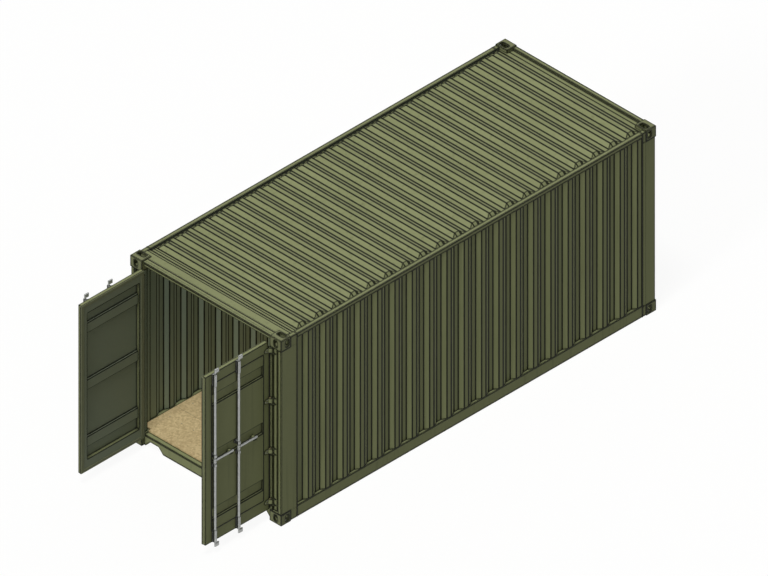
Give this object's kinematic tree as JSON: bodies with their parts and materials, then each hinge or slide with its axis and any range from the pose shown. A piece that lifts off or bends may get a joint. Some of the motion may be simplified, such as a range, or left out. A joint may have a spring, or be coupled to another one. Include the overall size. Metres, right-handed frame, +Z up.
{
  "type": "twenty-foot dry cargo container",
  "caption": "Corrugated steel cargo container with a plywood floor, corner castings and two hinged end doors with turning lock rods.",
  "frame": {"origin": "centre of the four bottom corner fittings, on the ground", "axes": "+X across the container to its right side, +Y along it away from the doors, +Z up"},
  "size_m": [2.438, 7.0985, 2.591],
  "materials": {
    "shell_paint": "satin",
    "casting_paint": "satin",
    "door_paint": "satin",
    "galvanised_steel": "satin",
    "door_rubber": "matte",
    "floor_plywood": "matte"
  },
  "bodies": {
    "container": {"top_castings_door_end": "casting_paint", "top_castings_front_end": "casting_paint", "bottom_castings_door_end": "casting_paint", "bottom_castings_front_end": "casting_paint", "left_door_post": "shell_paint", "left_front_post": "shell_paint", "left_bottom_side_rail": "shell_paint", "left_top_side_rail": "shell_paint", "left_side_wall": "shell_paint", "left_hinge_lugs": "shell_paint", "right_door_post": "shell_paint", "right_front_post": "shell_paint", "right_bottom_side_rail": "shell_paint", "right_top_side_rail": "shell_paint", "right_side_wall": "shell_paint", "right_hinge_lugs": "shell_paint", "door_header": "shell_paint", "door_sill": "shell_paint", "front_top_rail": "shell_paint", "front_bottom_rail": "shell_paint", "front_wall": "shell_paint", "roof": "shell_paint", "floor": "floor_plywood", "cross_members": "shell_paint"},
    "left_door": {"left_door_frame": "door_paint", "left_door_panel": "door_paint", "left_door_gasket": "door_rubber", "left_hinge_blades": "door_paint", "left_rod_guides": "galvanised_steel", "left_handle_rests": "door_paint"},
    "left_inner_rod": {"left_inner_lock_rod": "galvanised_steel", "left_inner_handle": "galvanised_steel"},
    "left_outer_rod": {"left_outer_lock_rod": "galvanised_steel", "left_outer_handle": "galvanised_steel"},
    "right_door": {"right_door_frame": "door_paint", "right_door_panel": "door_paint", "right_door_gasket": "door_rubber", "right_hinge_blades": "door_paint", "right_rod_guides": "galvanised_steel", "right_handle_rests": "door_paint"},
    "right_inner_rod": {"right_inner_lock_rod": "galvanised_steel", "right_inner_handle": "galvanised_steel"},
    "right_outer_rod": {"right_outer_lock_rod": "galvanised_steel", "right_outer_handle": "galvanised_steel"}
  },
  "joints": [
    {"name": "left_door_swing", "type": "hinge", "parent": "container", "child": "left_door", "pos_m": [-1.0595, -3.017, 0.156], "axis": [0, 0, -1], "range_deg": [-90, 90]},
    {"name": "left_inner_rod_turn", "type": "hinge", "parent": "left_door", "child": "left_inner_rod", "pos_m": [-1.0515, -3.927, 1.293], "axis": [0, 0, 1], "range_deg": [0, 100]},
    {"name": "left_outer_rod_turn", "type": "hinge", "parent": "left_door", "child": "left_outer_rod", "pos_m": [-1.0515, -3.54405, 1.293], "axis": [0, 0, 1], "range_deg": [0, 100]},
    {"name": "right_door_swing", "type": "hinge", "parent": "container", "child": "right_door", "pos_m": [1.0595, -3.017, 0.156], "axis": [0, 0, 1], "range_deg": [-90, 90]},
    {"name": "right_inner_rod_turn", "type": "hinge", "parent": "right_door", "child": "right_inner_rod", "pos_m": [1.0515, -3.927, 1.293], "axis": [0, 0, -1], "range_deg": [0, 100]},
    {"name": "right_outer_rod_turn", "type": "hinge", "parent": "right_door", "child": "right_outer_rod", "pos_m": [1.0515, -3.54405, 1.293], "axis": [0, 0, -1], "range_deg": [0, 100]}
  ]
}
